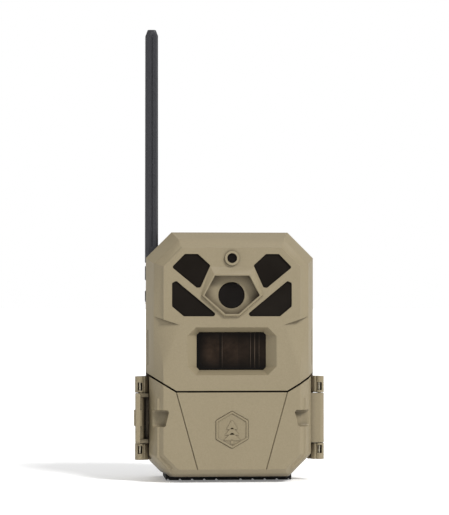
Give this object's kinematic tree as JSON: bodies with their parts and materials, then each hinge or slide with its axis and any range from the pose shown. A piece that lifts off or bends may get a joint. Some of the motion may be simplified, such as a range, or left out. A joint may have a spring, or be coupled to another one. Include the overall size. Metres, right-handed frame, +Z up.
{
  "type": "trail camera",
  "caption": "Weatherproof tan trail camera with infrared windows, lens, motion sensor, hinged battery door with side latch, folding whip antenna, tripod sockets and tree bracket",
  "frame": {"origin": "mouth of the tripod socket in the underside, level with the foot that the camera stands on", "axes": "+Z up, the camera looks along -Y, +X to the right of someone facing the camera's front"},
  "size_m": [0.1249, 0.0845, 0.2975],
  "materials": {
    "tan_plastic": "fine-grained weatherproof case plastic, dusty tan",
    "black_plastic": "black moulded plastic with a fine grain",
    "ir_window_plastic": "near-black infrared-passing acrylic",
    "lens_window_glass": "gloss black lens window",
    "motion_lens_plastic": "smoky brown-black sensor lens",
    "light_pipe": "translucent light pipe",
    "badge_plastic": "tan badge, slightly smoother than the case",
    "black_rubber": "matt black rubber",
    "button_rubber": "dark grey rubber",
    "pin_steel": "plain steel",
    "cell_jacket": null,
    "board": "green circuit board laminate",
    "module_can": "tinned shield can",
    "brass": "plain brass",
    "knuckle_plastic": "black nylon",
    "lens_metal": "black anodised",
    "glass": "optical glass",
    "led_epoxy": "smoked epoxy",
    "card_plastic": "black card plastic",
    "jack_body": "black jack body"
  },
  "bodies": {
    "case": {"rear_housing": "tan_plastic", "front_housing": "tan_plastic", "upper_right_ir_window": "ir_window_plastic", "upper_left_ir_window": "ir_window_plastic", "lower_right_ir_window": "ir_window_plastic", "lower_left_ir_window": "ir_window_plastic", "lens_window": "lens_window_glass", "motion_window": "motion_lens_plastic", "light_sensor_window": "light_pipe", "door_gasket": "black_rubber", "hinge_pin": "pin_steel", "latch_pin": "pin_steel", "battery_holder": "black_plastic", "aa_cells": "cell_jacket", "cell_springs": "pin_steel", "spring_board": "board", "control_board": "board", "control_panel": "black_plastic", "button_switches": "black_plastic", "status_lights": "light_pipe", "card_socket": "black_plastic", "sim_socket": "black_plastic", "lens_barrel": "lens_metal", "lens_glass": "glass", "lens_holder": "black_plastic", "image_board": "board", "ir_board": "board", "ir_leds": "led_epoxy", "light_sensor": "led_epoxy", "motion_board": "board", "motion_sensor": "module_can", "main_board": "board", "cellular_module": "module_can", "antenna_socket": "brass", "rubber_foot": "black_rubber", "tripod_insert": "brass", "back_tripod_insert": "brass", "tree_bracket": "black_plastic", "bracket_screws": "pin_steel", "case_screws": "pin_steel", "board_screws": "pin_steel", "power_jack": "jack_body"},
    "battery_door": {"battery_door": "tan_plastic", "door_badge": "badge_plastic", "contact_carrier": "black_plastic", "door_contacts": "pin_steel"},
    "latch_lever": {"latch_lever": "tan_plastic"},
    "antenna_knuckle": {"antenna_knuckle": "knuckle_plastic", "antenna_pin": "pin_steel"},
    "antenna_whip": {"antenna_whip": "black_plastic"},
    "power_button": {"power_button": "button_rubber"},
    "setup_button": {"setup_button": "button_rubber"},
    "memory_card": {"memory_card": "card_plastic"},
    "sim_card": {"sim_card": "card_plastic"},
    "ir_cut_filter": {"ir_cut_filter": "glass"},
    "jack_cover": {"jack_cover": "black_rubber"}
  },
  "joints": [
    {"name": "door_hinge", "type": "hinge", "parent": "case", "child": "battery_door", "pos_m": [0.0589, -0.0175, 0.0414], "axis": [0, 0, 1], "range_deg": [0, 110]},
    {"name": "latch_pivot", "type": "hinge", "parent": "case", "child": "latch_lever", "pos_m": [-0.0589, -0.0175, 0.0414], "axis": [0, 0, -1], "range_deg": [0, 75]},
    {"name": "antenna_swivel", "type": "hinge", "parent": "case", "child": "antenna_knuckle", "pos_m": [-0.0504, 0.002, 0.121], "axis": [0, 0, 1], "range_deg": [0, 100]},
    {"name": "antenna_fold", "type": "hinge", "parent": "antenna_knuckle", "child": "antenna_whip", "pos_m": [-0.0504, 0.002, 0.137], "axis": [-1, 0, 0], "range_deg": [0, 90]},
    {"name": "power_button_press", "type": "slide", "parent": "case", "child": "power_button", "axis": [0, 1, 0], "range_m": [0, 0.0005], "stiffness_N_per_m": 600},
    {"name": "setup_button_press", "type": "slide", "parent": "case", "child": "setup_button", "axis": [0, 1, 0], "range_m": [0, 0.0005], "stiffness_N_per_m": 600},
    {"name": "memory_card_eject", "type": "slide", "parent": "case", "child": "memory_card", "axis": [0, -1, 0], "range_m": [0, 0.004]},
    {"name": "sim_card_eject", "type": "slide", "parent": "case", "child": "sim_card", "axis": [0, -1, 0], "range_m": [0, 0.004]},
    {"name": "ir_filter_slide", "type": "slide", "parent": "case", "child": "ir_cut_filter", "axis": [1, 0, 0], "range_m": [0, 0.0075]},
    {"name": "jack_cover_flap", "type": "hinge", "parent": "case", "child": "jack_cover", "pos_m": [-0.05345, 0.006, 0.07585], "axis": [0, -1, 0], "range_deg": [0, 110]}
  ]
}
